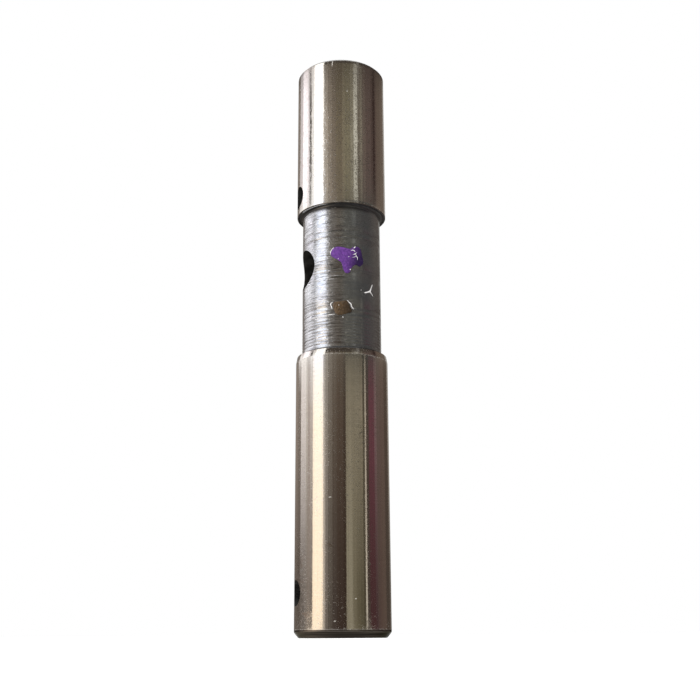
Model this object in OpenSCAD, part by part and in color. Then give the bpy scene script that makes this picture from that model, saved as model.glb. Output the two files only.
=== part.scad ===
// Governor shaft: one turned steel shaft that stands on its lower end.
// Two ground journals of one diameter carry a relieved neck between them.
// Three radial oil holes on one line meet an axial gallery drilled from the lower end.
// Millimetres. The origin is the centre of the lower end face, +Z runs up the axis,
// and the radial holes open on the -X side.

/* [Journals] */
// Diameter of both ground journals
journal_d = 16; // [15:0.1:24]
// Length of the lower journal, from the lower end face to the lower shoulder
lower_journal_len = 47.2; // [30:0.1:70]
// Length of the upper journal, from the upper shoulder to the upper end face
upper_journal_len = 28.3; // [15:0.1:45]

/* [Neck] */
// Length of the neck between the two shoulders
neck_len = 26.3; // [17:0.1:60]
// How far the neck lies below the journals, measured on the radius
neck_relief = 1.05; // [0.7:0.05:2.5]
// Radius of the fillet at each foot of the neck
neck_fillet = 0.45; // [0.1:0.05:0.6]

/* [Edges] */
// Width of the lower end's chamfer, measured on the radius
end_chamfer_w = 0.7; // [0.2:0.05:1.5]
// Height of the lower end's chamfer along the axis
end_chamfer_h = 0.95; // [0.3:0.05:2.5]
// Drop of the lead at the top of the lower journal, measured on the radius
lead_w = 0.2; // [0.05:0.05:0.5]
// Height of that lead along the axis
lead_h = 1.1; // [0.3:0.05:3]
// Edge break under the upper shoulder, at 45 degrees
shoulder_break = 0.1; // [0.05:0.05:0.3]
// Chamfer on the upper end's rim, at 45 degrees
rim_chamfer = 0.4; // [0.1:0.05:1.2]

/* [Oil holes] */
// Diameter of the feed hole in the neck
feed_hole_d = 7.2; // [3:0.1:9]
// Distance of the feed hole's centre below the upper shoulder
feed_hole_drop = 10.5; // [6:0.1:20]
// Diameter of the two journal oil holes
journal_hole_d = 4.2; // [2:0.1:6]
// Height of the upper oil hole's centre above the upper shoulder
upper_hole_rise = 3.3; // [3.2:0.1:12]
// Height of the lower oil hole's centre above the lower end face
lower_hole_rise = 7.1; // [5.5:0.1:25]

/* [Gallery] */
// Diameter of the axial oil gallery
gallery_d = 5; // [3:0.1:7]
// How far the gallery's full bore runs past the upper oil hole
gallery_overrun = 1; // [0:0.1:10]
// Diameter of the gallery's conical mouth on the lower end face
mouth_d = 7.5; // [7.2:0.1:11]

/* [Upper centre] */
// Diameter of the pilot hole of the turning centre
centre_pilot_d = 2; // [1:0.1:3]
// Depth of the pilot hole below the cone
centre_pilot_depth = 2; // [0.5:0.1:5]
// Diameter of the centre's cone on the upper end face
centre_mouth_d = 4.3; // [3.2:0.1:8]

/* [Hidden] */
$fn = 128;

journal_r = journal_d / 2;
neck_r = journal_r - neck_relief;
lower_shoulder_z = lower_journal_len;
upper_shoulder_z = lower_shoulder_z + neck_len;
overall_len = upper_shoulder_z + upper_journal_len;

feed_hole_z = upper_shoulder_z - feed_hole_drop;
upper_hole_z = upper_shoulder_z + upper_hole_rise;
lower_hole_z = lower_hole_rise;
gallery_len = upper_hole_z + journal_hole_d / 2 + gallery_overrun;

drill_tip_half_angle = 59;
centre_half_angle = 30;
cut_margin = 1;

// Half section of the turned blank, from the axis out, with every edge in place
module blank_section() {
    polygon([
        [0, 0],
        [journal_r - end_chamfer_w, 0],
        [journal_r, end_chamfer_h],
        [journal_r, lower_shoulder_z - lead_h],
        [journal_r - lead_w, lower_shoulder_z],
        [neck_r, lower_shoulder_z],
        [neck_r, upper_shoulder_z],
        [journal_r - shoulder_break, upper_shoulder_z],
        [journal_r, upper_shoulder_z + shoulder_break],
        [journal_r, overall_len - rim_chamfer],
        [journal_r - rim_chamfer, overall_len],
        [0, overall_len]
    ]);
    neck_foot(lower_shoulder_z, 1);
    neck_foot(upper_shoulder_z, -1);
}

// Fillet where the neck meets a shoulder; side is 1 above the shoulder and -1 below it
module neck_foot(shoulder_z, side) {
    translate([neck_r, shoulder_z])
        scale([1, side])
            difference() {
                square(neck_fillet);
                translate([neck_fillet, neck_fillet]) circle(r = neck_fillet);
            }
}

// Drilled hole along +Z with a conical tip, its full bore starting cut_margin below zero
module drilled(d, depth) {
    translate([0, 0, -cut_margin]) cylinder(d = d, h = depth + cut_margin);
    translate([0, 0, depth]) cylinder(d1 = d, d2 = 0, h = d / 2 / tan(drill_tip_half_angle));
}

// Countersink of 60 degrees in a face at zero, opening downwards
module countersink(mouth) {
    half_flare = cut_margin * tan(centre_half_angle);
    translate([0, 0, -cut_margin])
        cylinder(
            r1 = mouth / 2 + half_flare,
            r2 = 0,
            h = cut_margin + mouth / 2 / tan(centre_half_angle)
        );
}

// Radial oil hole from the -X side to the axis, where its tip runs out in the gallery
module oil_hole(d, z) {
    translate([-journal_r, 0, z]) rotate([0, 90, 0]) drilled(d, journal_r);
}

// Axial gallery with its conical mouth on the lower end face
module gallery() {
    drilled(gallery_d, gallery_len);
    countersink(mouth_d);
}

// Turning centre in the upper end face
module upper_centre() {
    cone_depth = (centre_mouth_d - centre_pilot_d) / 2 / tan(centre_half_angle);
    translate([0, 0, overall_len])
        mirror([0, 0, 1]) {
            drilled(centre_pilot_d, cone_depth + centre_pilot_depth);
            countersink(centre_mouth_d);
        }
}

// The whole shaft, turned and drilled from one bar
module governor_shaft() {
    color([0.62, 0.59, 0.54])
        difference() {
            rotate_extrude() blank_section();
            gallery();
            upper_centre();
            oil_hole(feed_hole_d, feed_hole_z);
            oil_hole(journal_hole_d, upper_hole_z);
            oil_hole(journal_hole_d, lower_hole_z);
        }
}

governor_shaft();
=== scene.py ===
import math
import bmesh
import bpy
from mathutils import Matrix, Vector


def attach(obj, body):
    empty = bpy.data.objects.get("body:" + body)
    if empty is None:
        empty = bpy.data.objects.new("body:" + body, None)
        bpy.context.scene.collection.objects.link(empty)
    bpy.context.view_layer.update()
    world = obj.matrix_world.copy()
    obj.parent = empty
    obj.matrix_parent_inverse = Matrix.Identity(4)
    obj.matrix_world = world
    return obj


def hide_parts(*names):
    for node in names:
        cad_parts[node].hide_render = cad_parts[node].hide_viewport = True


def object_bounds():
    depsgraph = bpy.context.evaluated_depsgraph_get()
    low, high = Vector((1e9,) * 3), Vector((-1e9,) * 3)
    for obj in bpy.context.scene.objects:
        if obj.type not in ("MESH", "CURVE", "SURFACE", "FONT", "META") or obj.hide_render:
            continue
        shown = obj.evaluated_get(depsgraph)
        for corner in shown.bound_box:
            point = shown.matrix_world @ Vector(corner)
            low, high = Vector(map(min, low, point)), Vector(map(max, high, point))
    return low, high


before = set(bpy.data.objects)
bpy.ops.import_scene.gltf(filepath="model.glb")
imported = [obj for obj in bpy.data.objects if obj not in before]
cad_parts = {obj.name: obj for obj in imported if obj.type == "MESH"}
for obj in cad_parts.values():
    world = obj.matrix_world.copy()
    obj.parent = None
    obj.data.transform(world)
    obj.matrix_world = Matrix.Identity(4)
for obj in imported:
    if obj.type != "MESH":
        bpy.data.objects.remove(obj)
cadLow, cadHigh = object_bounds()
mm = 0.001
facing = 254  # degrees round the axis: the side of the shaft that the camera looks at
front = 270  # the side towards -Y, where the neck's marks are modelled
print("frame loaded:", sorted(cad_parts))


# a spot at a distance from the axis, in a direction given in degrees round it
def ringSpot(distance, around, height):
    turn = math.radians(around)
    return Vector((distance * math.cos(turn), distance * math.sin(turn), height))


# ready for a new piece: nothing is selected
def clearSelection():
    if bpy.context.mode != "OBJECT":
        bpy.ops.object.mode_set(mode="OBJECT")
    bpy.ops.object.select_all(action="DESELECT")


# makes a piece the only one selected, and the active one
def choose(piece):
    clearSelection()
    piece.select_set(True)
    bpy.context.view_layer.objects.active = piece


# in edit mode
def selectAll():
    bpy.ops.mesh.select_all(action="SELECT")


# in edit mode, selects the vertices for which test(place in mm) holds, and what they carry
def pickVerts(piece, test):
    bpy.ops.mesh.select_all(action="DESELECT")
    bpy.context.tool_settings.mesh_select_mode = (True, False, False)
    shape = bmesh.from_edit_mesh(piece.data)
    for vert in shape.verts:
        vert.select = test(vert.co / mm)
    shape.select_flush(True)
    bmesh.update_edit_mesh(piece.data)


# in edit mode, selects the faces for which test(face) holds
def pickFaces(piece, test):
    bpy.ops.mesh.select_all(action="DESELECT")
    bpy.context.tool_settings.mesh_select_mode = (False, False, True)
    shape = bmesh.from_edit_mesh(piece.data)
    for face in shape.faces:
        face.select_set(test(face))
    bmesh.update_edit_mesh(piece.data)


# in edit mode, a new piece that is one vertex at a spot in metres
def startVertex(name, spot):
    clearSelection()
    bpy.ops.mesh.primitive_plane_add(size=mm, location=(0, 0, 0))
    piece = bpy.context.object
    piece.name = name
    piece.data.name = name
    bpy.ops.object.mode_set(mode="EDIT")
    bpy.context.tool_settings.mesh_select_mode = (True, False, False)
    selectAll()
    bpy.ops.mesh.merge(type="CENTER")
    bpy.ops.transform.translate(value=spot)
    return piece


# one vertex, extruded from point to point in the XZ plane; points are (x, z) in mm
def drawChain(name, points):
    piece = startVertex(name, (points[0][0] * mm, 0, points[0][1] * mm))
    for (x0, z0), (x1, z1) in zip(points, points[1:]):
        step = ((x1 - x0) * mm, 0, (z1 - z0) * mm)
        bpy.ops.mesh.extrude_vertices_move(TRANSFORM_OT_translate={"value": step})
    return piece


def applyModifiers(piece):
    choose(piece)
    for modifier in list(piece.modifiers):
        bpy.ops.object.modifier_apply(modifier=modifier.name)


def smoothPiece(piece, angle):
    choose(piece)
    bpy.ops.object.shade_smooth_by_angle(angle=math.radians(angle))


# camera
cameraSettings = {
    "distance": 173.51 * mm,  # from the shaft's axis
    "height": 0.48 * mm,  # just above the floor
    "pitch": 15.574,  # degrees, looking up
    "roll": -0.337,
    "yaw": -0.475,
    "lens": 52.606,
    "clipStart": mm,
}


def placeCamera(c):
    clearSelection()
    spot = ringSpot(c["distance"], facing, c["height"])
    turn = (
        Matrix.Rotation(math.radians(facing - front + c["yaw"]), 4, "Z")
        @ Matrix.Rotation(math.radians(90 + c["pitch"]), 4, "X")
        @ Matrix.Rotation(math.radians(c["roll"]), 4, "Z")
    )
    bpy.ops.object.camera_add(location=spot, rotation=turn.to_euler())
    camera = bpy.context.object
    camera.name = "shaftCamera"
    camera.data.lens = c["lens"]
    camera.data.clip_start = c["clipStart"]
    bpy.context.scene.camera = camera


placeCamera(cameraSettings)
bpy.context.scene.view_settings.view_transform = "Standard"
print("camera placed")


# node helpers
def addNode(tree, kind, sockets=None, **settings):
    node = tree.nodes.new(kind)
    for key, value in settings.items():
        setattr(node, key, value)
    for key, value in (sockets or {}).items():
        plug(tree, node.inputs[key], value)
    return node


# a socket takes a link from another socket, or a plain value
def plug(tree, socket, value):
    if isinstance(value, bpy.types.NodeSocket):
        tree.links.new(value, socket)
    else:
        socket.default_value = value


def calc(tree, operation, *values, clamp=False):
    node = tree.nodes.new("ShaderNodeMath")
    node.operation = operation
    node.use_clamp = clamp
    for socket, value in zip(node.inputs, values):
        plug(tree, socket, value)
    return node.outputs[0]


def times(tree, first, second):
    return calc(tree, "MULTIPLY", first, second)


# how far a value lies from a middle
def apart(tree, value, middle):
    return calc(tree, "ABSOLUTE", calc(tree, "SUBTRACT", value, middle))


# what is left of 1 when a mask takes away up to a share of it
def without(tree, mask, share=1.0):
    return calc(tree, "SUBTRACT", 1.0, times(tree, mask, share))


# a mask raised so that it never falls below a floor
def atLeast(tree, mask, floor):
    return calc(tree, "ADD", floor, times(tree, mask, 1 - floor))


def hypotenuse(tree, first, second):
    return calc(tree, "SQRT", calc(tree, "ADD", times(tree, first, first), times(tree, second, second)))


def ramp(tree, value, fromLow, fromHigh, toLow=0.0, toHigh=1.0, smooth=True):
    node = addNode(
        tree,
        "ShaderNodeMapRange",
        {"Value": value, "From Min": fromLow, "From Max": fromHigh, "To Min": toLow, "To Max": toHigh},
        interpolation_type="SMOOTHSTEP" if smooth else "LINEAR",
    )
    return node.outputs["Result"]


def mixColors(tree, factor, first, second):
    node = addNode(tree, "ShaderNodeMix", data_type="RGBA")  # its sockets for colours are 6, 7 and 2
    plug(tree, node.inputs[0], factor)
    plug(tree, node.inputs[6], first)
    plug(tree, node.inputs[7], second)
    return node.outputs[2]


# x, y and z of a point in the object's own frame, in metres
def objectSpot(tree):
    coords = tree.nodes.new("ShaderNodeTexCoord")
    return addNode(tree, "ShaderNodeSeparateXYZ", {"Vector": coords.outputs["Object"]}).outputs


def makeGroup(name, inputs, outputs):
    group = bpy.data.node_groups.new(name, "ShaderNodeTree")
    for label, value in inputs.items():
        socket = group.interface.new_socket(label, in_out="INPUT", socket_type="NodeSocketFloat")
        socket.default_value = value
    for label in outputs:
        group.interface.new_socket(label, in_out="OUTPUT", socket_type="NodeSocketFloat")
    return group, group.nodes.new("NodeGroupInput"), group.nodes.new("NodeGroupOutput")


def useGroup(tree, group, **sockets):
    node = tree.nodes.new("ShaderNodeGroup")
    node.node_tree = group
    for key, value in sockets.items():
        plug(tree, node.inputs[key], value)
    return node


# shared effects
# where a point lies on the shaft: degrees from the facing side, degrees from the line of holes,
# height and radius in mm
def makeShaftPlace():
    group, _, end = makeGroup("shaftPlace", {}, ["Around", "FromHoles", "Height", "Radius"])
    x, y, z = objectSpot(group)
    angle = calc(group, "ARCTAN2", y, x)
    turn = calc(group, "WRAP", calc(group, "SUBTRACT", angle, math.radians(facing)), math.pi, -math.pi)
    away = calc(group, "SUBTRACT", math.pi, calc(group, "ABSOLUTE", angle))
    plug(group, end.inputs["Around"], calc(group, "DEGREES", turn))
    plug(group, end.inputs["FromHoles"], calc(group, "DEGREES", away))
    plug(group, end.inputs["Height"], calc(group, "DIVIDE", z, mm))
    plug(group, end.inputs["Radius"], calc(group, "DIVIDE", hypotenuse(group, x, y), mm))
    return group


# noise at a spot whose three values are already scaled, from 0 below Low to 1 above High
def noiseField(group, start, spot, detail):
    vector = addNode(group, "ShaderNodeCombineXYZ", dict(zip("XYZ", spot)))
    noise = addNode(
        group,
        "ShaderNodeTexNoise",
        {"Vector": vector.outputs[0], "W": start.outputs["Seed"], "Scale": 1.0, "Detail": detail},
        noise_dimensions="4D",
    )
    return ramp(group, noise.outputs[0], start.outputs["Low"], start.outputs["High"])


# lines that run round the shaft, as a lathe tool or a grinding wheel leaves them
def makeToolLines():
    inputs = {"Pitch": 0.3, "Run": 6.0, "Detail": 2.0, "Low": 0.3, "High": 0.7, "Seed": 0.0}
    group, start, end = makeGroup("toolLines", inputs, ["Lines"])
    x, y = objectSpot(group)[:2]
    place = useGroup(group, shaftPlace)
    lathe = calc(group, "ADD", place.outputs["Radius"], place.outputs["Height"])
    run = times(group, start.outputs["Run"], mm)
    spot = (
        calc(group, "DIVIDE", x, run),
        calc(group, "DIVIDE", y, run),
        calc(group, "DIVIDE", lathe, start.outputs["Pitch"]),
    )
    plug(group, end.inputs["Lines"], noiseField(group, start, spot, start.outputs["Detail"]))
    return group


# soft patches, with their own size round and along the shaft in mm
def makePatches():
    inputs = {"Round": 1.0, "Along": 1.0, "Low": 0.4, "High": 0.6, "Seed": 0.0}
    group, start, end = makeGroup("patches", inputs, ["Patches"])
    x, y, z = objectSpot(group)
    wide = times(group, start.outputs["Round"], mm)
    tall = times(group, start.outputs["Along"], mm)
    spot = (calc(group, "DIVIDE", x, wide), calc(group, "DIVIDE", y, wide), calc(group, "DIVIDE", z, tall))
    plug(group, end.inputs["Patches"], noiseField(group, start, spot, 3.0))
    return group


# one nick, scratch or stain: a soft oval at a place on the shaft
def makeMark():
    inputs = {"Around": 0.0, "Height": 50.0, "Long": 1.0, "Wide": 0.2, "Tilt": 0.0, "Soft": 0.4}
    group, start, end = makeGroup("mark", inputs, ["Mask"])
    place = useGroup(group, shaftPlace)
    turn = calc(group, "SUBTRACT", place.outputs["Around"], start.outputs["Around"])
    turn = calc(group, "RADIANS", calc(group, "WRAP", turn, 180.0, -180.0))
    across = times(group, turn, place.outputs["Radius"])
    up = calc(group, "SUBTRACT", place.outputs["Height"], start.outputs["Height"])
    tilt = calc(group, "RADIANS", start.outputs["Tilt"])
    cosine, sine = calc(group, "COSINE", tilt), calc(group, "SINE", tilt)
    along = calc(group, "ADD", times(group, across, cosine), times(group, up, sine))
    aside = calc(group, "SUBTRACT", times(group, up, cosine), times(group, across, sine))
    along = calc(group, "DIVIDE", along, calc(group, "DIVIDE", start.outputs["Long"], 2.0))
    aside = calc(group, "DIVIDE", aside, calc(group, "DIVIDE", start.outputs["Wide"], 2.0))
    inner = calc(group, "SUBTRACT", 1.0, start.outputs["Soft"])
    plug(group, end.inputs["Mask"], ramp(group, hypotenuse(group, along, aside), inner, 1.0, 1.0, 0.0))
    return group


def lineMask(tree, settings):
    return useGroup(tree, toolLines, **settings).outputs[0]


def patchMask(tree, settings):
    return useGroup(tree, patches, **settings).outputs[0]


edgeChips = {"Round": 0.5, "Along": 0.3, "Low": 0.35, "High": 0.55, "Seed": 3.0}
edgeCore = 0.4  # the share of its width over which an edge is fully worn


# a worn edge that runs round the shaft at one height, painted pale as a highlight line
def makeEdgeWearGlint():
    group, start, end = makeGroup("edgeWearGlint", {"Height": 0.0, "Wide": 0.1, "Breaks": 0.4}, ["Mask"])
    away = apart(group, useGroup(group, shaftPlace).outputs["Height"], start.outputs["Height"])
    core = times(group, start.outputs["Wide"], edgeCore)
    band = ramp(group, away, core, start.outputs["Wide"], 1.0, 0.0)
    kept = without(group, patchMask(group, edgeChips), start.outputs["Breaks"])
    plug(group, end.inputs["Mask"], times(group, band, kept))
    return group


shaftPlace = makeShaftPlace()
toolLines = makeToolLines()
patches = makePatches()
mark = makeMark()
edgeWearGlint = makeEdgeWearGlint()


# steel finishes
def newMaterial(name):
    material = bpy.data.materials.new(name)
    material.use_nodes = True
    tree = material.node_tree
    return material, tree, tree.nodes["Principled BSDF"]


def addAll(tree, *values):
    total = values[0]
    for value in values[1:]:
        total = calc(tree, "ADD", total, value, clamp=True)
    return total


# the sum of some marks, each given as around, height, long, wide, tilt, soft
def allMarks(tree, places):
    masks = []
    for around, height, long, wide, tilt, soft in places:
        oval = useGroup(tree, mark, Around=around, Height=height, Long=long, Wide=wide, Tilt=tilt, Soft=soft)
        masks.append(oval.outputs[0])
    return addAll(tree, *masks)


# polish runs round the shaft, so it blurs what it mirrors along the axis and hardly across
def brushRound(tree, shader, anisotropic):
    quarterTurn = 0.25
    shader.inputs["Anisotropic"].default_value = anisotropic
    shader.inputs["Anisotropic Rotation"].default_value = quarterTurn
    tangent = addNode(tree, "ShaderNodeTangent", direction_type="RADIAL", axis="Z")
    plug(tree, shader.inputs["Tangent"], tangent.outputs[0])


# height maps laid over one another, each as (map, depth in mm)
def bumps(tree, shader, *layers):
    for relief, depth in layers:
        bump = addNode(tree, "ShaderNodeBump", {"Height": relief, "Distance": depth * mm})
        if shader.inputs["Normal"].links:
            plug(tree, bump.inputs["Normal"], shader.inputs["Normal"].links[0].from_socket)
        plug(tree, shader.inputs["Normal"], bump.outputs[0])


journalSteel = {
    "color": (0.63, 0.60, 0.55, 1),
    "shadeColor": (0.50, 0.465, 0.41, 1),
    "stainColor": (0.20, 0.14, 0.09, 1),
    "nickAndEdgeGlintColor": (0.80, 0.76, 0.70, 1),
    # patterns
    "lines": {"Pitch": 0.2, "Run": 3.0, "Detail": 4.0, "Low": 0.35, "High": 0.65, "Seed": 1.0},
    "haze": {"Round": 2.5, "Along": 5.0, "Low": 0.35, "High": 0.7, "Seed": 2.0},
    "wave": {"Round": 0.45, "Along": 2.2, "Low": 0.2, "High": 0.8, "Seed": 5.0},
    "worn": {"Round": 3.0, "Along": 8.0, "Low": 0.36, "High": 0.60, "Seed": 6.0},
    "specks": {"Round": 0.24, "Along": 0.6, "Low": 0.60, "High": 0.70, "Seed": 7.0},
    "pits": {"Round": 0.30, "Along": 0.24, "Low": 0.56, "High": 0.66, "Seed": 9.0},
    "stainGrain": {"Round": 0.9, "Along": 0.8, "Seed": 8.0},
    # shares of each pattern
    "lineShade": 0.2,
    "speckShade": 0.4,
    "stainShade": 0.75,
    "edgeGlintShare": 0.35,
    "nickDull": 0.6,  # how far a nick or a painted edge highlight hides the metal
    "wornFloor": 0.35,  # least unevenness where the steel isn't worn
    "pitFloor": 0.3,
    "hazeFloor": 0.4,
    # between these heights the unevenness goes from the third value to the fourth
    "unevenLow": (50.0, 74.0, 0.22, 1.0),
    "unevenTop": (86.0, 98.0, 1.0, 0.5),
    "roughness": (0.09, 0.15),  # smooth ground, and where the grinding lines are deepest
    "markRoughness": 0.25,
    "pitRoughness": 0.30,
    "anisotropic": 0.9,
    "waveDepth": 0.0045,
    "speckDepth": 0.009,
    "lineDepth": 0.0005,
    # worn edges, painted pale as highlight lines
    "edges": [(46.1, 0.16, 0.8), (1.36, 0.10, 0.6), (73.66, 0.14, 1.0)],  # height, half width, breaks
    "nicks": [
        (-11.2, 100.9, 1.5, 0.2, 84, 0.6),
        (8, 95.25, 0.35, 0.3, 0, 0.8),
        (-14.5, 22.0, 0.75, 0.2, 4, 0.7),
        (15.1, 6.0, 0.5, 0.25, 10, 0.8),
        (-8.8, 2.6, 0.6, 0.2, 20, 0.8),
    ],
    "stains": [(-60, 9, 18, 5.5, 90, 0.9), (-52, 3.5, 6, 4, 20, 0.9), (-14.5, 14.4, 2.4, 1.4, 10, 0.9)],
}


def makeJournalSteel(s):
    material, tree, shader = newMaterial("journalSteel")
    lines = lineMask(tree, s["lines"])
    haze = patchMask(tree, s["haze"])
    wave = patchMask(tree, s["wave"])
    worn = patchMask(tree, s["worn"])
    specks = patchMask(tree, s["specks"])
    pits = times(tree, patchMask(tree, s["pits"]), atLeast(tree, worn, s["pitFloor"]))
    height = useGroup(tree, shaftPlace).outputs["Height"]
    uneven = times(tree, ramp(tree, height, *s["unevenLow"]), ramp(tree, height, *s["unevenTop"]))
    uneven = times(tree, uneven, atLeast(tree, worn, s["wornFloor"]))
    wave, specks = times(tree, wave, uneven), times(tree, specks, uneven)
    stains = times(tree, allMarks(tree, s["stains"]), patchMask(tree, s["stainGrain"]))
    nicks = allMarks(tree, s["nicks"])
    # worn edges join the nicks, painted pale as highlight lines
    for level, wide, breaks in s["edges"]:
        edge = useGroup(tree, edgeWearGlint, Height=level, Wide=wide, Breaks=breaks).outputs[0]
        nicks = addAll(tree, nicks, times(tree, edge, s["edgeGlintShare"]))
    shade = addAll(tree, times(tree, lines, s["lineShade"]), times(tree, specks, s["speckShade"]))
    color = mixColors(tree, shade, s["color"], s["shadeColor"])
    color = mixColors(tree, times(tree, stains, s["stainShade"]), color, s["stainColor"])
    color = mixColors(tree, nicks, color, s["nickAndEdgeGlintColor"])
    plug(tree, shader.inputs["Base Color"], color)
    plug(tree, shader.inputs["Metallic"], without(tree, nicks, s["nickDull"]))
    rough = times(tree, haze, atLeast(tree, lines, s["hazeFloor"]))
    rough = ramp(tree, rough, 0.0, 1.0, *s["roughness"], smooth=False)
    rough = calc(tree, "ADD", rough, times(tree, addAll(tree, nicks, stains), s["markRoughness"]))
    rough = calc(tree, "ADD", rough, times(tree, pits, s["pitRoughness"]))
    plug(tree, shader.inputs["Roughness"], rough)
    brushRound(tree, shader, s["anisotropic"])
    bumps(tree, shader, (wave, s["waveDepth"]), (specks, s["speckDepth"]), (lines, s["lineDepth"]))
    return material


neckSteel = {
    "color": (0.575, 0.59, 0.605, 1),
    "shadeColor": (0.40, 0.41, 0.415, 1),
    "filmAndShadeColor": (0.104, 0.103, 0.098, 1),  # painted shade on the side away from the light, as a dull film where nothing rubs it
    "darkColor": (0.10, 0.10, 0.10, 1),
    # pale bluish white, for the bright scores and for painted glints on the flecks
    "scoreAndGlintColor": (0.85, 0.86, 0.88, 1),
    "grimeShadeColor": (0.05, 0.05, 0.052, 1),
    # patterns
    "coarse": {"Pitch": 0.30, "Run": 16.0, "Detail": 2.0, "Low": 0.40, "High": 0.60, "Seed": 11.0},
    "fine": {"Pitch": 0.16, "Run": 3.0, "Detail": 4.0, "Low": 0.38, "High": 0.62, "Seed": 12.0},
    "scratches": {"Pitch": 0.28, "Run": 3.2, "Detail": 1.0, "Low": 0.56, "High": 0.62, "Seed": 15.0},
    "blotch": {"Round": 1.4, "Along": 0.8, "Low": 0.35, "High": 0.65, "Seed": 13.0},
    # pale flecks are painted glints
    "glintFlecks": {"Round": 0.6, "Along": 0.24, "Low": 0.54, "High": 0.66, "Seed": 14.0},
    # shares of each pattern
    "fineShade": 0.45,
    "blotchShade": 0.4,
    "scratchShade": 0.5,
    "glintFleckShare": 0.5,
    "scoreShade": 0.8,
    "filmAndShadeGaps": 0.22,  # how far the dark patterns thin the film and its painted shade
    "filmAndShadeDull": 0.2,  # how far the film with its painted shade hides the metal
    "reliefFloor": 0.15,  # least depth of the tool lines, on the side away from the light, where the neck isn't rubbed
    # between the first two values, in degrees from the holes, these go from the third to the fourth
    "rubbedLitSide": (96.0, 56.0, 0.12, 1.0),
    # the film paints shade on the side away from the light
    "filmAndShadeSide": (68.0, 86.0, 0.0, 0.75),
    # grime and painted shade fill the corner under the upper shoulder from here up, and at the sides they
    # start later
    "grimeShadeFrom": (72.3, 73.15),
    "grimeShadeLater": (32.0, 64.0, 0.0, 0.55),  # degrees from the facing side, mm
    "roughness": (0.17, 0.27),
    "scoreRoughness": 0.3,
    "anisotropic": 0.6,
    "coarseDepth": 0.0085,
    "fineDepth": 0.007,
    "fleckDepth": 0.009,
    "dashes": [  # dark
        (-54, 59.85, 1.0, 0.24, 0, 0.6), (-47, 59.2, 0.9, 0.18, 0, 0.6),
        (-41, 60.15, 0.6, 0.18, 8, 0.7), (-29, 60.3, 0.7, 0.16, 0, 0.7),
        (-49, 57.9, 0.8, 0.18, 10, 0.7), (-38, 62.1, 0.6, 0.18, 0, 0.7),
        (-34, 59.55, 0.7, 0.2, 6, 0.7), (-25, 59.65, 0.7, 0.24, 0, 0.6),
        (-7, 60.0, 3.6, 0.22, 0, 0.5), (-19, 60.9, 0.8, 0.2, 0, 0.6),
        (-9, 61.6, 1.1, 0.24, 0, 0.7), (-15, 62.3, 1.0, 0.24, 0, 0.7),
        (-46, 53.5, 1.6, 0.2, 0, 0.6), (-23, 53.47, 2.4, 0.2, 0, 0.6),
    ],
    "scores": [  # bright
        (-36, 53.17, 6.4, 0.2, 0, 0.4),
        (-10, 60.32, 3.0, 0.18, 0, 0.6),
        (-14, 59.7, 2.0, 0.16, 0, 0.6),
    ],
}


def makeNeckSteel(s):
    material, tree, shader = newMaterial("neckSteel")
    place = useGroup(tree, shaftPlace)
    rubbedLitSide = ramp(tree, place.outputs["FromHoles"], *s["rubbedLitSide"])
    coarse = lineMask(tree, s["coarse"])
    fine = lineMask(tree, s["fine"])
    blotch = patchMask(tree, s["blotch"])
    scratches = times(tree, lineMask(tree, s["scratches"]), rubbedLitSide)
    # painted glints: pale flecks on the side towards the light
    glintFlecks = times(tree, patchMask(tree, s["glintFlecks"]), rubbedLitSide)
    scores = allMarks(tree, s["scores"])
    shade = addAll(tree, times(tree, fine, s["fineShade"]), times(tree, blotch, s["blotchShade"]))
    color = mixColors(tree, shade, s["color"], s["shadeColor"])
    # painted shade on the neck's side away from the light, given as a dull film
    filmAndShade = ramp(tree, place.outputs["FromHoles"], *s["filmAndShadeSide"])
    filmAndShade = times(tree, filmAndShade, without(tree, shade, s["filmAndShadeGaps"]))
    color = mixColors(tree, filmAndShade, color, s["filmAndShadeColor"])
    dark = addAll(tree, times(tree, scratches, s["scratchShade"]), allMarks(tree, s["dashes"]))
    color = mixColors(tree, dark, color, s["darkColor"])
    bright = addAll(tree, times(tree, glintFlecks, s["glintFleckShare"]), times(tree, scores, s["scoreShade"]))
    color = mixColors(tree, bright, color, s["scoreAndGlintColor"])
    # painted shade with grime, dark in the corner under the upper shoulder
    later = ramp(tree, calc(tree, "ABSOLUTE", place.outputs["Around"]), *s["grimeShadeLater"])
    grimeShade = ramp(tree, calc(tree, "SUBTRACT", place.outputs["Height"], later), *s["grimeShadeFrom"])
    color = mixColors(tree, times(tree, grimeShade, without(tree, glintFlecks)), color, s["grimeShadeColor"])
    plug(tree, shader.inputs["Base Color"], color)
    plug(tree, shader.inputs["Metallic"], without(tree, filmAndShade, s["filmAndShadeDull"]))
    rough = ramp(tree, coarse, 0.0, 1.0, *s["roughness"], smooth=False)
    rough = calc(tree, "ADD", rough, times(tree, scores, s["scoreRoughness"]))
    plug(tree, shader.inputs["Roughness"], rough)
    brushRound(tree, shader, s["anisotropic"])
    relief = atLeast(tree, rubbedLitSide, s["reliefFloor"])
    coarse, fine = times(tree, coarse, relief), times(tree, fine, relief)
    bumps(tree, shader, (coarse, s["coarseDepth"]), (fine, s["fineDepth"]), (glintFlecks, s["fleckDepth"]))
    return material


# turned faces: the ends, and the lower corner and the face under the shoulder, unground steel painted dark as
# shade
faceLines = {"Pitch": 0.2, "Run": 9.0, "Detail": 3.0, "Low": 0.35, "High": 0.65, "Seed": 21.0}
faceLineDepth = 0.005
endSteel = {
    "name": "endSteel",
    "color": (0.22, 0.215, 0.20, 1),
    "bare": (0.42, 0.41, 0.39, 1),
    "roughness": 0.38,
}
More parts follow.
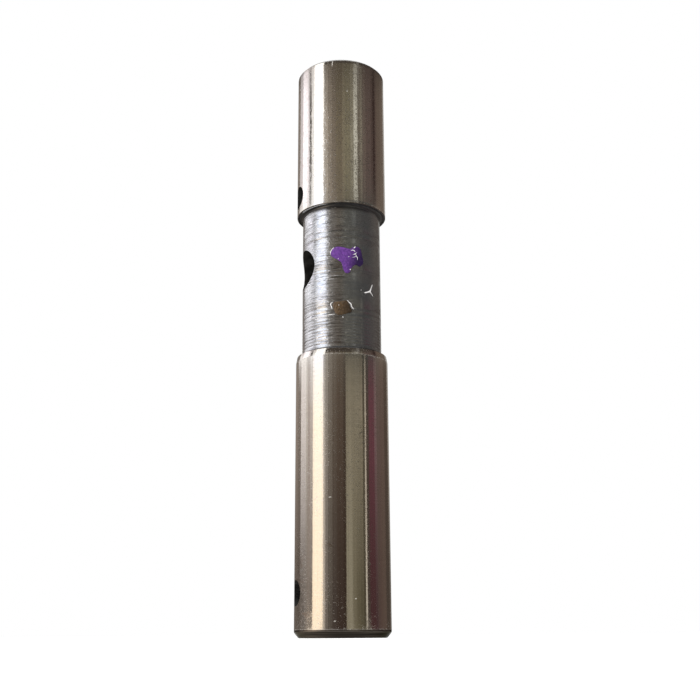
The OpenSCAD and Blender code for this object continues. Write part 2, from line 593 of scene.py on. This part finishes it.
# the lower end's chamfer: turned, oxidised steel painted dark as shade
cornerShadeSteel = {
    "name": "cornerShadeSteel",
    "color": (0.022, 0.018, 0.014, 1),
    "bare": (0.095, 0.080, 0.064, 1),
    "roughness": 0.3,
    "edgeTint": (0.5, 0.5, 0.47, 1),  # dull where it is seen at a slant
    "land": (0.98, 1.08, (0.14, 0.122, 0.105, 1)),  # from this height up it is brighter
    "side": (32, 70, 0.0, 0.5),  # painted shade: between these degrees from the holes it darkens, by this share
}
# the face under the upper shoulder, painted near-black as the shade that falls there, with some dirt
shoulderShadeSteel = {
    "name": "shoulderShadeSteel",
    "color": (0.05, 0.051, 0.053, 1),
    "bare": (0.16, 0.162, 0.165, 1),
    "roughness": 0.3,
    "dull": 0.22,  # how far dirt and the painted shade under the shoulder hide the metal
    "rim": {  # painted highlight along the rim, on the side towards the light
        "radii": (7.54, 7.76),
        "soft": 0.04,
        "middle": -42,  # degrees from the facing side
        "reach": (18.0, 26.0),
        "color": (0.78, 0.79, 0.81, 1),
        "metal": 0.1,
    },
}


def makeRimHighlightMask(tree, place, s):
    inner, outer = s["radii"]
    rim = ramp(tree, place.outputs["Radius"], inner, inner + s["soft"])
    rim = times(tree, rim, ramp(tree, place.outputs["Radius"], outer - s["soft"], outer, 1.0, 0.0))
    aside = apart(tree, place.outputs["Around"], s["middle"])
    return times(tree, rim, ramp(tree, aside, *s["reach"], 1.0, 0.0))


def makeFaceSteel(s):
    material, tree, shader = newMaterial(s["name"])
    lines = lineMask(tree, faceLines)
    place = useGroup(tree, shaftPlace)
    color = mixColors(tree, lines, s["color"], s["bare"])
    metal = 1 - s.get("dull", 0)
    shader.inputs["Metallic"].default_value = metal
    if "edgeTint" in s:
        shader.inputs["Specular Tint"].default_value = s["edgeTint"]
    if "side" in s:
        # painted shade on the side away from the light
        color = mixColors(tree, ramp(tree, place.outputs["FromHoles"], *s["side"]), color, (0, 0, 0, 1))
    if "land" in s:
        low, high, bright = s["land"]
        color = mixColors(tree, ramp(tree, place.outputs["Height"], low, high), color, bright)
    if "rim" in s:
        # painted highlight on the rim of the face under the shoulder
        rim = makeRimHighlightMask(tree, place, s["rim"])
        color = mixColors(tree, rim, color, s["rim"]["color"])
        change = s["rim"]["metal"] - metal
        plug(tree, shader.inputs["Metallic"], calc(tree, "MULTIPLY_ADD", rim, change, metal))
    plug(tree, shader.inputs["Base Color"], color)
    shader.inputs["Roughness"].default_value = s["roughness"]
    bumps(tree, shader, (lines, faceLineDepth))
    return material


# the bores' walls, painted near-black as the shade inside them, with patches of film
holeShadeSteel = {
    "color": (0.012, 0.011, 0.010, 1),
    "filmAndShadeColor": (0.03, 0.028, 0.025, 1),
    "filmAndShade": {"Round": 1.2, "Along": 1.2, "Low": 0.3, "High": 0.7, "Seed": 31.0},
    "roughness": (0.5, 0.7),
}


def makeHoleShadeSteel(s):
    material, tree, shader = newMaterial("holeShadeSteel")
    filmAndShade = patchMask(tree, s["filmAndShade"])
    plug(tree, shader.inputs["Base Color"], mixColors(tree, filmAndShade, s["color"], s["filmAndShadeColor"]))
    plug(tree, shader.inputs["Roughness"], ramp(tree, filmAndShade, 0.0, 1.0, *s["roughness"]))
    return material


materialOf = {
    "journal": makeJournalSteel(journalSteel),
    "neck": makeNeckSteel(neckSteel),
    "end": makeFaceSteel(endSteel),
    "corner": makeFaceSteel(cornerShadeSteel),
    "shoulder": makeFaceSteel(shoulderShadeSteel),
    "hole": makeHoleShadeSteel(holeShadeSteel),
}
print("steel finishes made")


# the shaft, in mm; the journals' radius and the length come from the frame
shaft = {
    "journal": (cadHigh.x - cadLow.x) / 2 / mm,
    "length": cadHigh.z / mm,
    "lowerShoulder": 47.2,
    "upperShoulder": 73.5,
    "neck": 6.95,
    "neckFillet": 0.45,
    "endChamfer": (0.7, 0.95),  # off the radius, up the axis
    "groundFrom": 1.3,  # the grinding wheel stopped here, just above the chamfer
    "lead": (0.2, 1.1),
    "shoulderBreak": 0.1,
    "rimChamfer": 0.4,
    "edgeRound": 0.06,
    "leadRound": 0.18,  # where the lead begins
    "breakRound": 0.03,  # on both edges of the break under the upper shoulder
    "cornerRound": 0.55,  # on both edges of the end chamfer
    "lowerLoops": (2, 4, 10.5, 20, 33),  # heights of further edge loops on the lower journal
    "neckLoops": (57, 59, 64, 66, 70, 72),
    "upperLoops": (0.6, 6, 15),  # above the upper shoulder
    "loopGap": 1,  # from an edge to the loop beside it
    "rimLoopGap": 0.6,
    "gallery": (2.5, 79.9),  # radius, depth of the full bore
    "galleryMouth": 3.75,
    "centrePilot": (1.0, 2.0),
    "centreMouth": 2.15,
    "coneHalf": 30,
    "tipHalf": 59,
    "steps": 192,
    "drillSides": 96,
    "smoothAngle": 28,
    "feedMarks": {"from": 47.9, "to": 52.7, "pitch": 0.56, "depth": 0.035},
    "rings": {"heights": [53.7, 54.6, 61.1, 61.6, 67.4, 68.7], "half": 0.12, "depth": 0.03},
    "holes": [(3.6, 63.0), (2.1, 76.8), (2.1, 7.1)],  # radius, height
}


# corners are (radius, height, rounding): each rounded one becomes an arc
def roundedRun(corners, steps=4):
    points = []
    for i, (r, z, rounding) in enumerate(corners):
        if not rounding:
            points.append((r, z))
            continue
        corner = Vector((r, z))
        back = (Vector(corners[i - 1][:2]) - corner).normalized()
        ahead = (Vector(corners[i + 1][:2]) - corner).normalized()
        half = back.angle(ahead) / 2
        reach = rounding / math.tan(half)
        centre = corner + (back + ahead).normalized() * rounding / math.sin(half)
        first = (corner + back * reach - centre).normalized()
        last = (corner + ahead * reach - centre).normalized()
        for step in range(steps + 1):
            points.append(tuple(centre + first.slerp(last, step / steps) * rounding))
    return points


# the neck's own line: deep feed marks near its foot, and single rings above
def neckLine(s):
    points = []
    marks, rings = s["feedMarks"], s["rings"]
    count = round((marks["to"] - marks["from"]) / marks["pitch"])
    perMark = 4
    for i in range(count * perMark):
        depth = marks["depth"] * (1 - math.cos(i * 2 * math.pi / perMark)) / 2
        points.append((s["neck"] - depth, marks["from"] + i * marks["pitch"] / perMark))
    for height in rings["heights"]:
        for share in (-1, -0.5, 0, 0.5, 1):
            depth = rings["depth"] * (1 - abs(share))
            points.append((s["neck"] - depth, height + share * rings["half"]))
    for height in s["neckLoops"]:
        points.append((s["neck"], height))
    return sorted(points, key=lambda p: p[1])


def shaftOutline(s):
    tip = math.tan(math.radians(s["tipHalf"]))
    flare = math.tan(math.radians(s["coneHalf"]))
    boreR, boreEnd = s["gallery"]
    pilotR, pilotLong = s["centrePilot"]
    top = s["length"]
    pilotTop = top - (s["centreMouth"] - pilotR) / flare
    r, low, high = s["journal"], s["lowerShoulder"], s["upperShoulder"]
    ease, gap = s["edgeRound"], s["loopGap"]
    inside = [
        (0, boreEnd + boreR / tip),
        (boreR, boreEnd),
        (boreR, (s["galleryMouth"] - boreR) / flare),
    ]
    below = [
        (s["galleryMouth"], 0, 0),
        (r - s["endChamfer"][0] - gap, 0, 0),
        (r - s["endChamfer"][0], 0, s["cornerRound"]),
        (r, s["endChamfer"][1], s["cornerRound"]),
        (r, s["groundFrom"], 0),
        *[(r, height, 0) for height in s["lowerLoops"]],
        (r, low - s["lead"][1] - gap, 0),
        (r, low - s["lead"][1], s["leadRound"]),
        (r - s["lead"][0], low, ease),
        (s["neck"], low, s["neckFillet"]),
        (s["neck"], low + gap, 0),
    ]
    above = [
        (s["neck"], high - gap, 0),
        (s["neck"], high, s["neckFillet"]),
        (r - s["shoulderBreak"], high, s["breakRound"]),
        (r, high + s["shoulderBreak"], s["breakRound"]),
        *[(r, high + rise, 0) for rise in s["upperLoops"]],
        (r, top - s["rimChamfer"] - s["rimLoopGap"], 0),
        (r, top - s["rimChamfer"], ease),
        (r - s["rimChamfer"], top, ease),
        (r - s["rimChamfer"] - gap, top, 0),
        (s["centreMouth"], top, 0),
    ]
    centre = [(pilotR, pilotTop), (pilotR, pilotTop - pilotLong), (0, pilotTop - pilotLong - pilotR / tip)]
    lower, upper = roundedRun(below)[:-1], roundedRun(above)[1:]
    return inside + lower + neckLine(s) + upper + centre


# a drill with its tip, lying along X from outside the journal to the axis
def makeDrill(s, radius, height):
    outside = 2
    long = s["journal"] + outside
    clearSelection()
    bpy.ops.mesh.primitive_cylinder_add(
        vertices=s["drillSides"],
        radius=radius * mm,
        depth=long * mm,
        location=(-long / 2 * mm, 0, height * mm),
        rotation=(0, math.pi / 2, 0),
    )
    drill = bpy.context.object
    bpy.ops.object.transform_apply()
    bpy.ops.object.mode_set(mode="EDIT")
    pickFaces(drill, lambda face: face.normal.x > 0.9)
    tipLong = radius / math.tan(math.radians(s["tipHalf"]))
    bpy.ops.mesh.extrude_region_move(TRANSFORM_OT_translate={"value": (tipLong * mm, 0, 0)})
    bpy.ops.mesh.merge(type="CENTER")
    bpy.ops.object.mode_set(mode="OBJECT")
    drill.data.materials.append(materialOf["hole"])
    return drill


# which finish a face of the shaft has, from its place and its normal
def finishOf(s, face):
    slack, rim = 0.02, 0.05  # mm; the lead's rounded rim counts as shoulder
    inward, upright = -0.05, 0.3  # how far normals point outwards in a bore, and upwards on a journal
    spot = face.center / mm
    radius = math.hypot(spot.x, spot.y)
    outward = (face.normal.x * spot.x + face.normal.y * spot.y) / max(radius, slack)
    low, high = s["lowerShoulder"] - rim, s["upperShoulder"] + slack
    if outward < inward:
        return "hole"
    if radius < s["neck"] + slack and low + s["neckFillet"] < spot.z < high - s["neckFillet"]:
        return "neck"
    ground = radius > s["journal"] - s["lead"][0] - slack / 2 and spot.z > s["groundFrom"]
    if ground and abs(face.normal.z) < upright:
        return "journal"
    if radius > s["journal"] - s["endChamfer"][0] and spot.z < s["groundFrom"]:
        return "corner"
    return "shoulder" if radius > s["neck"] and low < spot.z < high else "end"


def makeShaft(s):
    piece = drawChain("groundShaft", shaftOutline(s))
    selectAll()
    bpy.ops.mesh.spin(steps=s["steps"], angle=2 * math.pi, center=(0, 0, 0), axis=(0, 0, 1))
    selectAll()
    bpy.ops.mesh.remove_doubles(threshold=0.001 * mm)
    bpy.ops.mesh.normals_make_consistent(inside=False)
    bpy.ops.object.mode_set(mode="OBJECT")
    names = list(materialOf)
    for name in names:
        piece.data.materials.append(materialOf[name])
    for face in piece.data.polygons:
        face.material_index = names.index(finishOf(s, face))
    for radius, height in s["holes"]:
        drill = makeDrill(s, radius, height)
        cut = piece.modifiers.new("oilHole", "BOOLEAN")
        cut.operation = "DIFFERENCE"
        cut.solver = "MANIFOLD"
        cut.material_mode = "TRANSFER"
        cut.object = drill
        applyModifiers(piece)
        bpy.data.objects.remove(drill)
    smoothPiece(piece, s["smoothAngle"])
    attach(piece, "root")
    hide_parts("governor_shaft")
    print("shaft made:", len(piece.data.polygons), "faces")


makeShaft(shaft)


# marks on the neck: paint, a brown drop, burrs and pale raised marks that are painted glints, each a thin
# crown wrapped round the steel
paintWrinkle = {"Round": 0.35, "Along": 0.35, "Low": 0.38, "High": 0.62, "Seed": 51.0}
wrinkleShade = 0.75
violet = {
    "name": "violetPaint",
    # left is the paint where it is lit, right the painted shade it turns to
    "left": (0.165, 0.050, 0.310, 1),
    "right": (0.022, 0.008, 0.060, 1),
    "wrinkle": (0.085, 0.024, 0.190, 1),
    "turn": (6, 34),  # degrees from the facing side over which painted shade darkens the paint
    "low": (3, 13, 64.6, 62.8, 0.34),  # and painted shade over these below, between these heights, by this much more
    "roughness": 0.25,
    "depth": 0.05,
}
brown = {
    "name": "brownDrop",
    "left": (0.115, 0.070, 0.034, 1),
    # left is the drop where it is lit, right the painted shade it turns to
    "right": (0.028, 0.018, 0.010, 1),
    "wrinkle": (0.050, 0.028, 0.012, 1),
    # degrees from the facing side over which painted shade darkens the drop
    "turn": (-8, 17),
    "roughness": 0.25,
    "depth": 0.05,
}
burrAndGlint = {
    "color": (0.75, 0.72, 0.70, 1),
    "bright": (1.0, 0.98, 0.97, 1),
    "grain": {"Round": 0.3, "Along": 0.3, "Low": 0.3, "High": 0.7, "Seed": 53.0},
    "roughness": 0.35,
}


def makePaint(s):
    material, tree, shader = newMaterial(s["name"])
    place = useGroup(tree, shaftPlace)
    wrinkle = patchMask(tree, paintWrinkle)
    color = mixColors(tree, times(tree, wrinkle, wrinkleShade), s["left"], s["wrinkle"])
    # painted shade: the paint darkens to the right, and the violet also lower down
    dark = ramp(tree, place.outputs["Around"], *s["turn"])
    if "low" in s:
        first, last, top, bottom, share = s["low"]
        below = ramp(tree, place.outputs["Height"], top, bottom, 0.0, share)
        dark = addAll(tree, dark, times(tree, below, ramp(tree, place.outputs["Around"], first, last)))
    color = mixColors(tree, dark, color, s["right"])
    plug(tree, shader.inputs["Base Color"], color)
    shader.inputs["Roughness"].default_value = s["roughness"]
    bumps(tree, shader, (wrinkle, s["depth"]))
    return material


def makeBurrAndGlint(s):
    material, tree, shader = newMaterial("brightBurrAndGlint")
    color = mixColors(tree, patchMask(tree, s["grain"]), s["color"], s["bright"])
    plug(tree, shader.inputs["Base Color"], color)
    shader.inputs["Roughness"].default_value = s["roughness"]
    return material


violetMaterial = makePaint(violet)
brownMaterial = makePaint(brown)
burrAndGlintMaterial = makeBurrAndGlint(burrAndGlint)

# outlines and paths are (mm to the right of the facing line, height in mm)
neckMarks = {
    "violetDab": {
        "outline": [
            (-1.3, 65.4), (-0.8, 65.6), (0.15, 65.5), (1.05, 65.25), (1.6, 65.2), (1.95, 65.55),
            (2.65, 65.75), (3.15, 65.7), (3.5, 65.3), (3.8, 64.0), (4.0, 63.35), (3.95, 62.65), (3.3, 62.1),
            (2.9, 62.2), (2.6, 62.4), (2.1, 62.15), (1.7, 61.65), (1.5, 60.95), (1.05, 60.65), (0.6, 60.75),
            (0.25, 61.45), (0.1, 62.25), (-0.1, 62.75), (-1.0, 63.35), (-1.7, 63.75), (-1.95, 64.3),
            (-1.9, 64.85),
        ],
        "height": 0.07,
        "crown": [(0.12, 0.05), (0.2, 0.025)],
        "material": violetMaterial,
    },
    "brownDrop": {
        "outline": [
            (-1.4, 55.5), (-0.55, 55.55), (0.35, 55.7), (0.9, 55.75), (1.2, 55.35), (1.45, 54.6),
            (1.8, 54.05), (1.7, 53.65), (0.8, 53.35), (0.1, 53.15), (-0.65, 53.15), (-1.1, 53.5),
            (-1.45, 54.35), (-1.55, 54.95),
        ],
        "height": 0.09,
        "crown": [(0.16, 0.07), (0.3, 0.04)],
        "material": brownMaterial,
    },
    "forkedScratch": {
        "outline": [
            (5.37, 58.1), (6.06, 59.48), (6.19, 59.41), (5.56, 58.01), (6.27, 57.39), (6.22, 57.29),
            (5.44, 57.9), (4.55, 57.5), (4.25, 57.42), (4.2, 57.6), (4.45, 57.72),
        ],
        "height": 0.02,
        "crown": [(0.025, 0.015)],
        "material": burrAndGlintMaterial,
    },
}

# thin bright marks, most of them painted glints on the paint's wrinkles and rim and on the drop's edges: how
# far they stand off the steel, width, path
thinMarks = {
    "dabWrinkleGlintA": (0.17, 0.2, [(2.1, 65.35), (2.3, 65.5), (2.45, 65.7)]),
    "dabWrinkleGlintB": (0.17, 0.16, [(1.6, 64.85), (1.95, 65.0), (2.25, 64.9), (2.35, 64.65)]),
    "dabWrinkleGlintC": (0.17, 0.18, [(2.0, 64.15), (2.3, 64.25), (2.65, 64.6)]),
    "dabWrinkleGlintD": (0.165, 0.12, [(2.45, 64.4), (2.55, 64.0), (2.8, 63.65), (2.75, 63.2)]),
    "dabWrinkleGlintE": (0.165, 0.1, [(1.9, 63.65), (2.3, 63.75), (2.6, 63.95)]),
    "dabRimGlint": (0.13, 0.13, [(-1.3, 65.45), (-1.7, 65.05), (-1.93, 64.6), (-1.9, 64.1)]),
    "dabGlintSpotA": (0.16, 0.14, [(-0.6, 63.25), (-0.5, 63.35)]),
    "dabGlintSpotB": (0.13, 0.14, [(1.42, 61.3), (1.6, 61.45)]),
    "dabGlintSpotC": (0.16, 0.12, [(1.2, 63.65), (1.3, 63.8)]),
    "dropEdgeGlintA": (0.12, 0.17, [(-1.5, 55.5), (-1.87, 55.25), (-1.9, 54.95), (-1.7, 54.6), (-1.65, 54.2)]),
    "dropEdgeGlintB": (
        0.14, 0.17, [(0.95, 55.75), (1.3, 55.35), (1.62, 55.1), (1.65, 54.7), (1.85, 54.4), (2.1, 54.25)],
    ),
    "dropEdgeGlintC": (0.08, 0.13, [(-2.65, 53.2), (-2.05, 53.28), (-1.2, 53.26)]),
    "dropGlintSpeck": (0.2, 0.11, [(-0.55, 54.88), (-0.42, 54.84)]),
    "speckB": (0.02, 0.16, [(0.12, 52.78), (0.3, 52.72)]),
    "speckC": (0.02, 0.08, [(3.45, 57.93), (3.57, 57.87)]),
}
thinShape = {"tip": 0.2, "inset": 0.2, "rise": 0.25}  # shares of the mark's width
markShape = {"rounding": 2, "smoothAngle": 60}


# the outline of a thin mark, from the line down its middle: full width there, narrow at the ends
def thinOutline(path, wide):
    right, left = [], []
    last = len(path) - 1
    for i, (x, z) in enumerate(path):
        before, after = path[max(i - 1, 0)], path[min(i + 1, last)]
        along = Vector((after[0] - before[0], after[1] - before[1])).normalized()
        half = wide / 2 if 0 < i < last or last == 1 else wide * thinShape["tip"]
        right.append((x + along.y * half, z - along.x * half))
        left.append((x - along.y * half, z + along.x * half))
    return right + left[::-1]


for thinName, (lift, wide, path) in thinMarks.items():
    neckMarks[thinName] = {
        "outline": thinOutline(path, wide),
        "height": lift,
        "crown": [(wide * thinShape["inset"], wide * thinShape["rise"])],
        "material": burrAndGlintMaterial,
    }


def makeMarkOnNeck(name, m):
    piece = drawChain(name, m["outline"])
    count = len(m["outline"]) * 2
    bpy.ops.mesh.select_all(action="DESELECT")
    shape = bmesh.from_edit_mesh(piece.data)
    for vert in shape.verts:
        vert.select_set(len(vert.link_edges) < 2)  # the two ends of the chain
    bmesh.update_edit_mesh(piece.data)
    bpy.ops.mesh.edge_face_add()
    selectAll()
    bpy.ops.mesh.subdivide(number_cuts=1)  # halved edges keep the outline when it is rounded
    selectAll()
    bpy.ops.mesh.edge_face_add()
    bpy.context.tool_settings.mesh_select_mode = (False, False, True)
    selectAll()
    bpy.ops.mesh.extrude_region_move(TRANSFORM_OT_translate={"value": (0, -m["height"] * mm, 0)})
    for inset, rise in m["crown"]:
        bpy.ops.mesh.inset(thickness=inset * mm, depth=0)
        bpy.ops.transform.translate(value=(0, -rise * mm, 0))
    pickFaces(piece, lambda face: len(face.verts) == count)
    bpy.ops.mesh.quads_convert_to_tris(ngon_method="BEAUTY")
    selectAll()
    bpy.ops.mesh.normals_make_consistent(inside=False)
    bpy.ops.object.mode_set(mode="OBJECT")
    rounding = piece.modifiers.new("rounding", "SUBSURF")
    rounding.levels = markShape["rounding"]
    rounding.render_levels = markShape["rounding"]
    applyModifiers(piece)
    wrap = piece.modifiers.new("wrapRoundNeck", "SIMPLE_DEFORM")
    wrap.deform_method = "BEND"
    wrap.deform_axis = "Z"
    reach = [vert.co.x for vert in piece.data.vertices]
    wrap.angle = (max(reach) - min(reach)) / (shaft["neck"] * mm)
    applyModifiers(piece)
    piece.location.y = -shaft["neck"] * mm
    bpy.ops.object.transform_apply()
    piece.rotation_euler.z = math.radians(facing - front)
    bpy.ops.object.transform_apply()
    piece.data.materials.append(m["material"])
    smoothPiece(piece, markShape["smoothAngle"])
    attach(piece, "root")
    print(name, "made:", len(piece.data.polygons), "faces")


for markName, markSettings in neckMarks.items():
    makeMarkOnNeck(markName, markSettings)


# floor and sky
studio = {
    "floorSize": 6,
    "floorColor": (0.86, 0.86, 0.86, 1),
    "lift": 0.45,  # light that the floor adds where it is seen, so that it is white
    "skyLight": 0.7,
}


# 1 for what the eye sees straight, in metal or through glass, and 0 for the light that falls on things
def seenRay(tree):
    path = tree.nodes.new("ShaderNodeLightPath")
    seen = calc(tree, "ADD", path.outputs["Is Camera Ray"], path.outputs["Is Glossy Ray"], clamp=True)
    return calc(tree, "ADD", seen, path.outputs["Is Transmission Ray"], clamp=True)


def makeFloor(s):
    clearSelection()
    bpy.ops.mesh.primitive_plane_add(size=s["floorSize"], location=(0, 0, 0))
    floor = bpy.context.object
    floor.name = "floor"
    material, tree, shader = newMaterial("paleFloor")
    shader.inputs["Base Color"].default_value = s["floorColor"]
    shader.inputs["Roughness"].default_value = 1.0
    shader.inputs["Specular IOR Level"].default_value = 0.0
    shader.inputs["Emission Color"].default_value = (1, 1, 1, 1)
    plug(tree, shader.inputs["Emission Strength"], times(tree, seenRay(tree), s["lift"]))
    floor.data.materials.append(material)


def makeSky(s):
    world = bpy.data.worlds.new("whiteSky")
    bpy.context.scene.world = world
    world.use_nodes = True
    tree = world.node_tree
    back = tree.nodes["Background"]
    back.inputs["Color"].default_value = (1, 1, 1, 1)
    plug(tree, back.inputs["Strength"], ramp(tree, seenRay(tree), 0, 1, s["skyLight"], 1.0, smooth=False))


makeFloor(studio)
makeSky(studio)


# reflection cards: they stand round the shaft, and only polished surfaces see them
# from and to are degrees to the right of the camera, as seen from the shaft
cardRing = {
    "distance": 500 * mm,
    "tall": 900 * mm,
    "foot": 11 * mm,  # how near the shaft a card's foot comes over the floor
    "footHeight": 0.3 * mm,
    "changes": ((25, 140), (167, 183), (276, 296), (380, 398)),  # mm, where one colour turns into the next
    "darkTop": (0.07, 0.058, 0.05),
    "facet": 8,  # degrees of arc, about, to a face
    "streaks": 0.4,  # how much the streaks in a card take off its light or add to it
    "streakPitch": 50.0,  # noise cells to a radian
    "streakRange": (0.3, 0.7),
}
cards = [
    # name, from, to; the lower journal's foot and top, the neck, the upper journal, and what the lead mirrors
    (
        "rearA", 126, 150,
        (0.085, 0.066, 0.055), (0.105, 0.076, 0.06), (0.19, 0.155, 0.13), (0.19, 0.15, 0.125),
    ),
    ("rearB", 150, 172, (0.17, 0.15, 0.13), (0.4, 0.36, 0.32), (0.44, 0.42, 0.4), (0.46, 0.43, 0.4)),
    ("rearC", 172, 196, (0.07, 0.06, 0.05), (0.11, 0.09, 0.07), (0.13, 0.11, 0.09), (0.17, 0.14, 0.11)),
    ("rearD", 196, 222, (0.17, 0.14, 0.12), (0.36, 0.3, 0.26), (0.3, 0.27, 0.25), (0.3, 0.26, 0.23)),
    (
        "wallEnd", -138, -121,
        (0.16, 0.134, 0.118), (0.28, 0.235, 0.208), (1.4, 1.36, 1.38), (0.92, 0.85, 0.88), (0.4, 0.38, 0.4),
    ),
    (
        "wall", -121, -99,
        (0.165, 0.14, 0.122), (1.1, 1.02, 1.02), (1.62, 1.61, 1.64), (2.0, 1.9, 2.08), (0.8, 0.74, 0.76),
    ),
    (
        "wallEdge", -99, -92.5,
        (0.25, 0.215, 0.19), (0.83, 0.76, 0.71), (1.18, 1.16, 1.2), (1.45, 1.38, 1.48), (0.72, 0.68, 0.7),
    ),
    (
        "gap", -92.5, -84,
        (0.3, 0.25, 0.22), (0.62, 0.53, 0.49), (1.15, 1.15, 1.2), (0.15, 0.14, 0.132), (0.62, 0.58, 0.6),
    ),
    (
        "jamb", -84, -75.3,
        (0.25, 0.215, 0.19), (0.84, 0.76, 0.71), (1.62, 1.65, 1.75), (1.45, 1.44, 1.46), (0.8, 0.75, 0.74),
    ),
    (
        "window", -75.3, -47,
        (1.7, 1.42, 1.12), (1.9, 1.68, 1.42), (1.66, 1.84, 2.35), (2.3, 2.3, 2.4), (2.0, 2.0, 2.0),
    ),
    (
        "sill", -47, -41,
        (0.64, 0.56, 0.49), (0.68, 0.62, 0.56), (0.6, 0.6, 0.64), (0.72, 0.66, 0.6), (0.09, 0.08, 0.07),
    ),
    ("shadeA", -41, -34, (0.21, 0.18, 0.16), (0.37, 0.33, 0.295), (0.5, 0.47, 0.43), (0.6, 0.53, 0.46)),
    ("shadeB", -34, -24, (0.13, 0.11, 0.095), (0.24, 0.205, 0.175), (0.33, 0.305, 0.275), (0.42, 0.36, 0.3)),
    ("shadeC", -24, -13, (0.082, 0.063, 0.055), (0.16, 0.125, 0.1), (0.275, 0.25, 0.22), (0.3, 0.25, 0.2)),
    ("shadeD", -13, 3, (0.062, 0.043, 0.035), (0.125, 0.09, 0.069), (0.205, 0.18, 0.15), (0.25, 0.21, 0.15)),
    ("shadeE", 3, 9, (0.052, 0.035, 0.026), (0.08, 0.056, 0.042), (0.165, 0.15, 0.13), (0.33, 0.29, 0.21)),
    ("oliveA", 9, 24, (0.35, 0.32, 0.24), (0.345, 0.305, 0.23), (0.1, 0.098, 0.092), (0.3, 0.27, 0.19)),
    ("oliveB", 24, 33, (0.21, 0.185, 0.128), (0.34, 0.3, 0.225), (0.085, 0.086, 0.084), (0.38, 0.35, 0.27)),
    ("paleLine", 33, 43.5, (0.15, 0.13, 0.085), (0.35, 0.31, 0.235), (0.06, 0.062, 0.064), (0.82, 0.8, 0.71)),
    (
        "oliveC", 43.5, 51,
        (0.12, 0.105, 0.068), (0.35, 0.305, 0.23), (0.05, 0.053, 0.056), (0.2, 0.17, 0.135),
        (0.2, 0.19, 0.18),
    ),
    (
        "oliveEdge", 51, 56.5,
        (0.095, 0.08, 0.053), (0.13, 0.11, 0.08), (0.05, 0.053, 0.055), (0.33, 0.295, 0.24),
    ),
    (
        "thinLight", 56.5, 60,
        (0.85, 0.78, 0.68), (0.66, 0.58, 0.48), (0.05, 0.055, 0.058), (0.21, 0.175, 0.15),
    ),
    (
        "darkEdge", 60, 67.5,
        (0.08, 0.058, 0.05), (0.1, 0.07, 0.058), (0.075, 0.082, 0.08), (0.2, 0.155, 0.135),
    ),
    (
        "maroon", 67.5, 85,
        (0.085, 0.04, 0.042), (0.185, 0.07, 0.092), (0.085, 0.1, 0.092), (0.163, 0.118, 0.108),
    ),
    ("mauve", 85, 92, (0.09, 0.054, 0.055), (0.26, 0.165, 0.175), (0.14, 0.137, 0.122), (0.12, 0.082, 0.075)),
    ("brownA", 92, 102, (0.12, 0.082, 0.072), (0.17, 0.12, 0.11), (0.19, 0.168, 0.148), (0.05, 0.029, 0.027)),
    ("brownB", 102, 108, (0.13, 0.088, 0.075), (0.16, 0.11, 0.1), (0.2, 0.17, 0.148), (0.145, 0.104, 0.09)),
    ("brownC", 108, 126, (0.14, 0.1, 0.083), (0.16, 0.112, 0.096), (0.23, 0.19, 0.16), (0.17, 0.13, 0.107)),
]


# a card's light: five colours upwards, with streaks that stand upright in it
def makeCardLight(ring, name, colors):
    material = bpy.data.materials.new("cardLight." + name)
    material.use_nodes = True
    tree = material.node_tree
    tree.nodes.clear()
    x, y, z = objectSpot(tree)
    color = (*colors[0], 1)
    for (low, high), above in zip(ring["changes"], colors[1:]):
        color = mixColors(tree, ramp(tree, z, low * mm, high * mm, smooth=False), color, (*above, 1))
    turn = times(tree, calc(tree, "ARCTAN2", y, x), ring["streakPitch"])
    streak = addNode(tree, "ShaderNodeTexNoise", {"W": turn, "Scale": 1.0}, noise_dimensions="1D")
    dimmest, brightest = 1 - ring["streaks"], 1 + ring["streaks"]
    strength = ramp(tree, streak.outputs[0], *ring["streakRange"], dimmest, brightest, smooth=False)
    light = addNode(tree, "ShaderNodeEmission", {"Color": color, "Strength": strength})
    out = tree.nodes.new("ShaderNodeOutputMaterial")
    tree.links.new(light.outputs[0], out.inputs[0])
    return material


# a wall that stands on an arc round the shaft, with a foot that runs in over the floor
def makeCard(ring, name, start, stop, *colors):
    parts = max(1, round((stop - start) / ring["facet"]))
    arc = math.radians(stop - start)
    card = startVertex("card." + name, ringSpot(ring["distance"], facing + start, ring["footHeight"]))
    bpy.ops.mesh.spin(steps=parts, angle=arc, center=(0, 0, 0), axis=(0, 0, -1))  # to the right
    selectAll()
    bpy.ops.mesh.extrude_region_move(TRANSFORM_OT_translate={"value": (0, 0, ring["tall"])})
    pickVerts(card, lambda co: co.z < 1)
    bpy.ops.mesh.extrude_edges_move(TRANSFORM_OT_translate={"value": (0, 0, 0)})
    share = ring["foot"] / ring["distance"]
    bpy.ops.transform.resize(value=(share, share, 1), center_override=(0, 0, 0))
    bpy.ops.object.mode_set(mode="OBJECT")
    if len(colors) == len(ring["changes"]):
        colors = (*colors, ring["darkTop"])
    card.data.materials.append(makeCardLight(ring, name, colors))
    for ray in ("camera", "diffuse", "transmission", "shadow"):
        setattr(card, "visible_" + ray, False)


for card in cards:
    makeCard(cardRing, *card)
print("cards placed:", len(cards))


# lamps: soft, and not mirrored in the steel
lamps = [
    # name, degrees to the right of the camera, elevation, distance, size, watts
    ("key", -55, 35, 0.6, 0.5, 2.2),
    ("fill", 40, 25, 0.7, 0.6, 0.8),
]


def makeLamp(name, side, up, away, size, watts):
    clearSelection()
    rise = math.radians(up)
    aim = ringSpot(math.cos(rise), facing + side, math.sin(rise))
    target = Vector((0, 0, (cadLow.z + cadHigh.z) / 2))
    turn = aim.to_track_quat("Z", "Y").to_euler()
    bpy.ops.object.light_add(type="AREA", location=target + aim * away, rotation=turn)
    lamp = bpy.context.object
    lamp.name = name
    lamp.data.size = size
    lamp.data.energy = watts
    lamp.visible_glossy = False
    lamp.visible_camera = False


for lamp in lamps:
    makeLamp(*lamp)
print("lamps placed")
